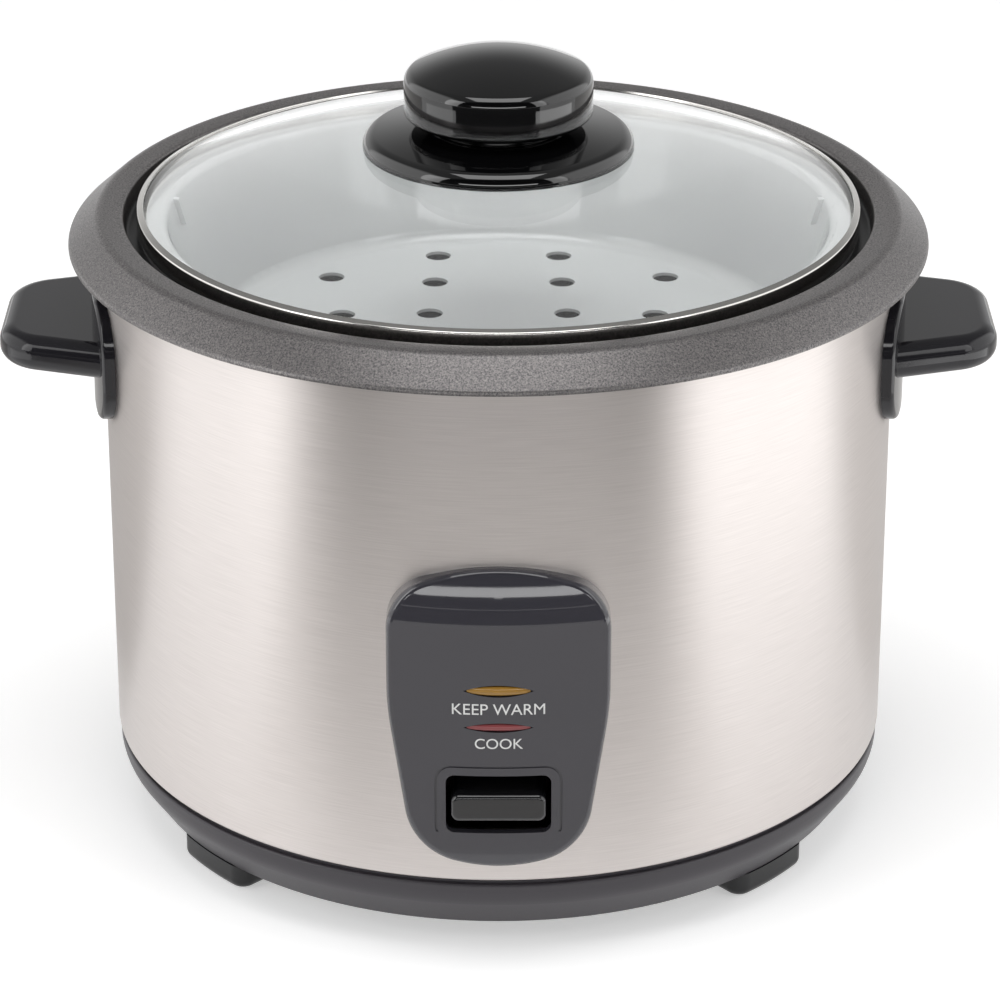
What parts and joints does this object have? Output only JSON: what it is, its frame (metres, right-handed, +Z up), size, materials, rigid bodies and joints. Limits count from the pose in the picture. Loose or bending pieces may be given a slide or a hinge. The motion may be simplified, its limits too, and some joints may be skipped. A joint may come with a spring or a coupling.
{
  "type": "electric rice cooker",
  "caption": "Round electric rice cooker with a domed glass lid, steamer basket, lift-out non-stick pot, brushed steel casing, side handles and a front press switch with indicator lenses.",
  "frame": {"origin": "on the floor under the middle of the cooker", "axes": "+Z up, the switch panel faces -Y, the handles lie along X"},
  "size_m": [0.3056, 0.2626, 0.2439],
  "materials": {
    "nonstick_coating": "speckled non-stick coating on aluminium",
    "basket_plastic": "light grey satin plastic",
    "lid_glass": "clear toughened glass",
    "lid_steel": "polished steel band",
    "knob_plastic": "black glossy plastic",
    "silicone": "translucent silicone",
    "fastener_steel": "zinc-plated steel",
    "brushed_casing": "fine brushed stainless steel",
    "base_plastic": "charcoal satin plastic",
    "sheet_steel": "galvanised sheet steel",
    "handle_plastic": "charcoal glossy plastic",
    "panel_plastic": "charcoal glossy plastic",
    "amber_lens": "clear amber plastic",
    "red_lens": "clear red plastic",
    "holder_plastic": "white heat-proof plastic",
    "lamp_glass": "neon lamp glass",
    "electric_plastic": "black heat-proof plastic",
    "cast_aluminium": "cast aluminium",
    "element_steel": "oxidised steel tube",
    "terminal_brass": "brass",
    "cap_aluminium": "pressed aluminium",
    "ferrite": "sintered ferrite",
    "spring_steel": "spring wire",
    "foot_plastic": "black plastic",
    "lead_brown": "insulated wire",
    "lead_blue": "insulated wire",
    "lead_green": "insulated wire"
  },
  "bodies": {
    "body": {"casing": "brushed_casing", "base_ring": "base_plastic", "base_screws": "fastener_steel", "bottom_pan": "sheet_steel", "right_handle": "handle_plastic", "left_handle": "handle_plastic", "handle_screws": "fastener_steel", "control_panel": "panel_plastic", "amber_lens": "amber_lens", "red_lens": "red_lens", "lamp_holder": "holder_plastic", "warm_lamp": "lamp_glass", "cook_lamp": "lamp_glass", "panel_screws": "fastener_steel", "lever_pin": "fastener_steel", "lever_bracket": "sheet_steel", "bracket_screws": "fastener_steel", "microswitch": "electric_plastic", "heating_plate": "cast_aluminium", "heating_element": "element_steel", "heater_terminals": "terminal_brass", "plate_pillars": "sheet_steel", "plate_bolts": "fastener_steel", "thermostat_sleeve": "sheet_steel", "cap_spring": "spring_steel", "warm_thermostat": "electric_plastic", "thermal_fuse": "cap_aluminium", "fuse_clip": "sheet_steel", "inlet_housing": "electric_plastic", "inlet_pins": "terminal_brass", "inlet_screws": "fastener_steel", "front_right_foot": "foot_plastic", "rear_right_foot": "foot_plastic", "rear_left_foot": "foot_plastic", "front_left_foot": "foot_plastic", "live_lead": "lead_brown", "neutral_lead": "lead_blue", "earth_lead": "lead_green"},
    "pot": {"inner_pot": "nonstick_coating"},
    "basket": {"steamer_basket": "basket_plastic"},
    "lid": {"lid_glass": "lid_glass", "lid_band": "lid_steel", "lid_knob": "knob_plastic", "knob_base": "knob_plastic", "knob_gasket": "silicone", "knob_washer": "fastener_steel", "knob_screw": "fastener_steel"},
    "switch": {"switch_lever": "sheet_steel", "switch_button": "panel_plastic"},
    "magnet_unit": {"magnet": "ferrite", "magnet_rod": "sheet_steel"},
    "cap": {"sensor_cap": "cap_aluminium", "ferrite_disc": "ferrite", "magnet_spring": "spring_steel"},
    "plunger": {"switch_plunger": "holder_plastic"}
  },
  "joints": [
    {"name": "pot_lift", "type": "slide", "parent": "body", "child": "pot", "axis": [0, 0, 1], "range_m": [0, 0.16]},
    {"name": "basket_lift", "type": "slide", "parent": "pot", "child": "basket", "axis": [0, 0, 1], "range_m": [0, 0.08]},
    {"name": "lid_lift", "type": "slide", "parent": "basket", "child": "lid", "axis": [0, 0, 1], "range_m": [0, 0.1]},
    {"name": "switch_press", "type": "hinge", "parent": "body", "child": "switch", "pos_m": [0, -0.06, 0.036], "axis": [1, 0, 0], "range_deg": [0, 3.4], "stiffness_Nm_per_rad": 2, "springref_deg": -1.72},
    {"name": "magnet_rise", "type": "slide", "parent": "body", "child": "magnet_unit", "axis": [0, 0, 1], "range_m": [0, 0.0036], "deforming": ["magnet_spring"]},
    {"name": "plunger_travel", "type": "slide", "parent": "body", "child": "plunger", "axis": [0, 0, 1], "range_m": [0, 0.0019]},
    {"name": "cap_rise", "type": "slide", "parent": "body", "child": "cap", "axis": [0, 0, 1], "range_m": [0, 0.0036], "deforming": ["cap_spring"]}
  ],
  "couplings": [
    {"joint": "magnet_rise", "follows": "switch_press", "m_per_rad": 0.05997},
    {"joint": "plunger_travel", "follows": "switch_press", "m_per_rad": 0.0315},
    {"joint": "cap_rise", "follows": "pot_lift", "ratio": 0.021875}
  ]
}
